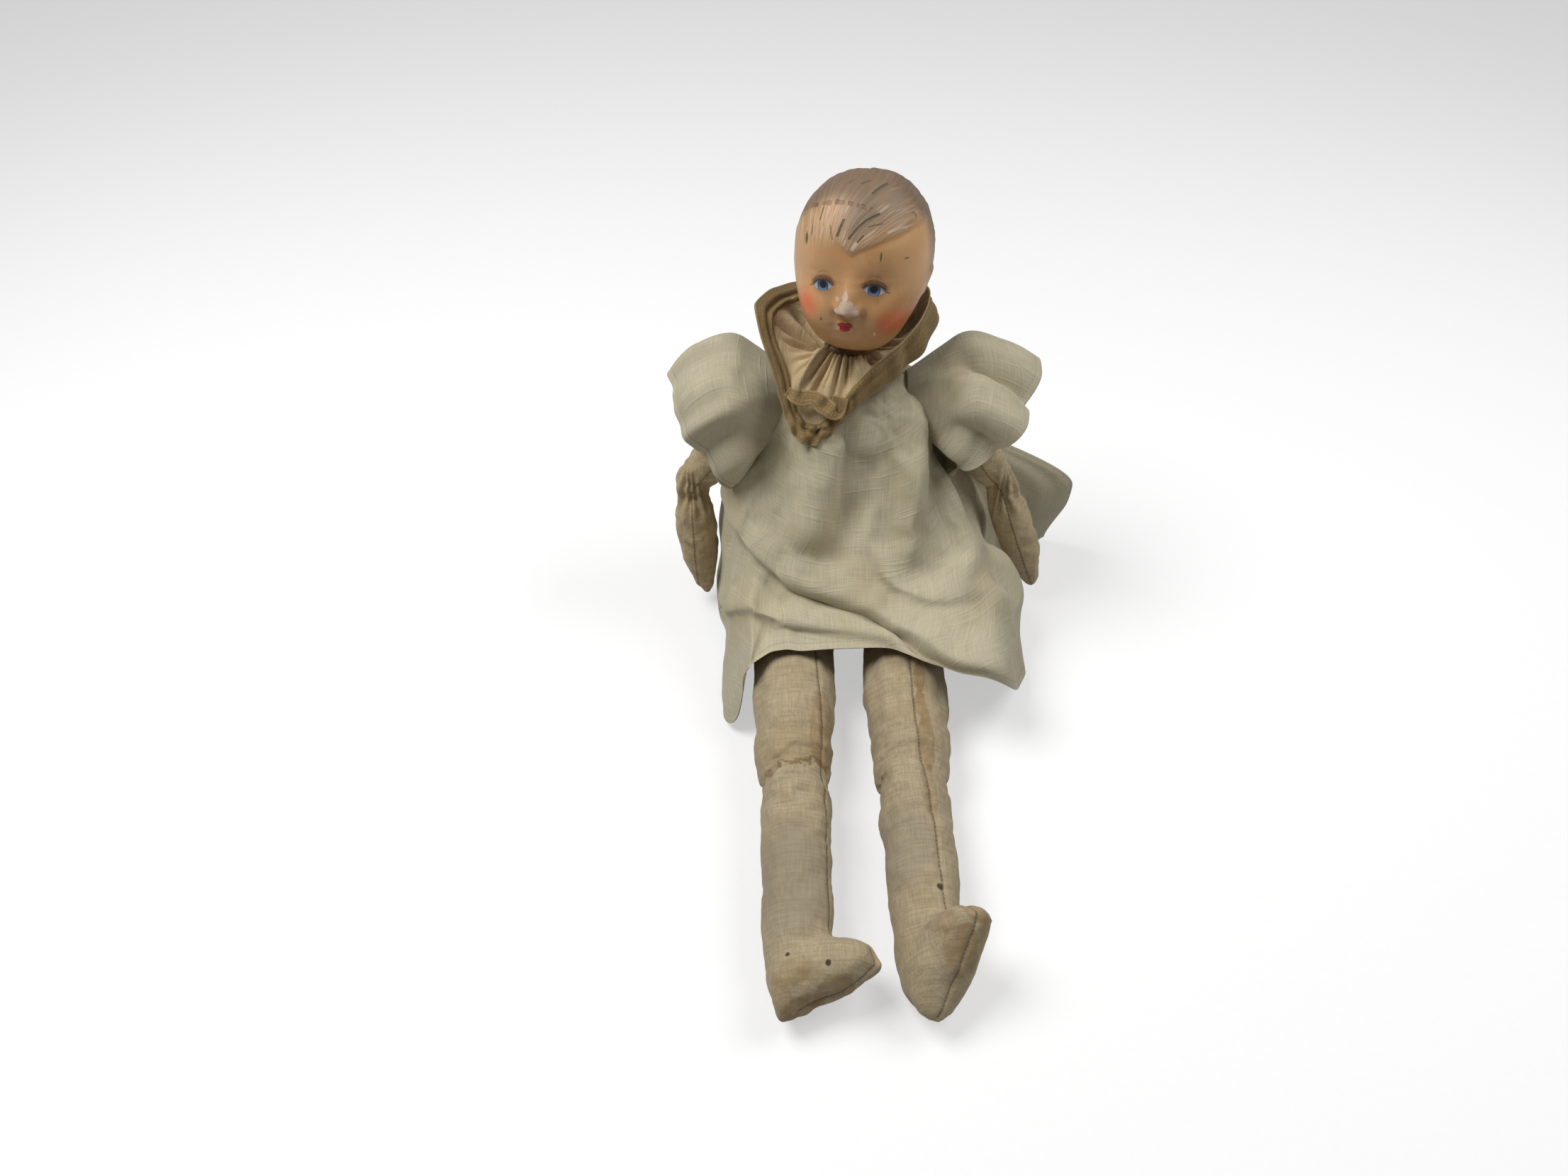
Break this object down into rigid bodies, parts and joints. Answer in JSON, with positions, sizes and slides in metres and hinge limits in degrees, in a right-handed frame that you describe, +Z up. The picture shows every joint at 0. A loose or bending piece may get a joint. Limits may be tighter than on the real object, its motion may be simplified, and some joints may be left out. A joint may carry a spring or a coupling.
{
  "type": "seated cloth doll",
  "caption": "Seated stuffed cloth doll with a painted head on a tied neck, stitched hinge arms and legs, a linen smock with soft sleeves and a pleated collar.",
  "frame": {"origin": "middle of the flat that the doll sits on, at floor level", "axes": "+Z up, the doll faces -Y with its legs straight ahead, its left side is +X"},
  "size_m": [0.2556, 0.3844, 0.2701],
  "materials": {
    "painted_face": "gloss paint on pressed paper",
    "painted_hair": "satin paint on pressed paper",
    "muslin": "plain weave, stained",
    "stuffing": "packed fibre",
    "linen": "soft plain weave",
    "gauze": "sheer pleated gauze",
    "tape": "woven tape",
    "thread": "sewing thread",
    "button": "polished"
  },
  "bodies": {
    "torso": {"torso_front_panel": "muslin", "torso_back_panel": "muslin", "torso_stuffing": "stuffing", "shoulder_thread_left": "thread", "shoulder_thread_right": "thread", "hip_stitch_left": "thread", "hip_stitch_right": "thread", "smock_front_panel": "linen", "smock_back_panel": "linen", "sleeve_left": "linen", "sleeve_right": "linen", "collar_frill": "gauze", "collar_binding": "tape", "back_neck_button": "button"},
    "neck": {"neck_sleeve": "muslin", "neck_stuffing": "stuffing", "neck_tie_cord": "thread"},
    "head": {"head_front_half": "painted_face", "head_back_half": "painted_hair"},
    "upper_arm_left": {"upper_arm_left_front_panel": "muslin", "upper_arm_left_back_panel": "muslin", "upper_arm_left_stuffing": "stuffing", "elbow_stitch_left": "thread"},
    "upper_arm_right": {"upper_arm_right_front_panel": "muslin", "upper_arm_right_back_panel": "muslin", "upper_arm_right_stuffing": "stuffing", "elbow_stitch_right": "thread"},
    "forearm_left": {"forearm_left_front_panel": "muslin", "forearm_left_back_panel": "muslin", "forearm_left_stuffing": "stuffing"},
    "forearm_right": {"forearm_right_front_panel": "muslin", "forearm_right_back_panel": "muslin", "forearm_right_stuffing": "stuffing"},
    "leg_left": {"leg_left_inner_panel": "muslin", "leg_left_outer_panel": "muslin", "leg_left_stuffing": "stuffing"},
    "leg_right": {"leg_right_inner_panel": "muslin", "leg_right_outer_panel": "muslin", "leg_right_stuffing": "stuffing"}
  },
  "joints": [
    {"name": "neck_nod", "type": "hinge", "parent": "torso", "child": "neck", "pos_m": [0, 0.015, 0.161], "axis": [1, 0, 0], "range_deg": [-15, 20], "deforming": ["collar_frill", "collar_binding"]},
    {"name": "head_turn", "type": "hinge", "parent": "neck", "child": "head", "pos_m": [0, 0.015, 0.161], "axis": [0.0872, 0.202, 0.9755], "range_deg": [-40, 40]},
    {"name": "shoulder_swing_left", "type": "hinge", "parent": "torso", "child": "upper_arm_left", "pos_m": [0.0535, 0.0125, 0.146], "axis": [-1, 0, 0], "range_deg": [-45, 150], "deforming": ["sleeve_left", "smock_back_panel"]},
    {"name": "shoulder_swing_right", "type": "hinge", "parent": "torso", "child": "upper_arm_right", "pos_m": [-0.0535, 0.0125, 0.146], "axis": [-1, 0, 0], "range_deg": [-45, 150], "deforming": ["sleeve_right", "smock_back_panel"]},
    {"name": "elbow_bend_left", "type": "hinge", "parent": "upper_arm_left", "child": "forearm_left", "pos_m": [0.09404, -0.00306, 0.08795], "axis": [-1, 0, 0], "range_deg": [-45, 90]},
    {"name": "elbow_bend_right", "type": "hinge", "parent": "upper_arm_right", "child": "forearm_right", "pos_m": [-0.09404, -0.00306, 0.08795], "axis": [-1, 0, 0], "range_deg": [-45, 90]},
    {"name": "hip_swing_left", "type": "hinge", "parent": "torso", "child": "leg_left", "pos_m": [0.032, -0.034, 0.02], "axis": [-1, 0, 0], "range_deg": [-75, 30], "deforming": ["smock_front_panel"]},
    {"name": "hip_swing_right", "type": "hinge", "parent": "torso", "child": "leg_right", "pos_m": [-0.032, -0.034, 0.02], "axis": [-1, 0, 0], "range_deg": [-75, 30], "deforming": ["smock_front_panel"]}
  ]
}
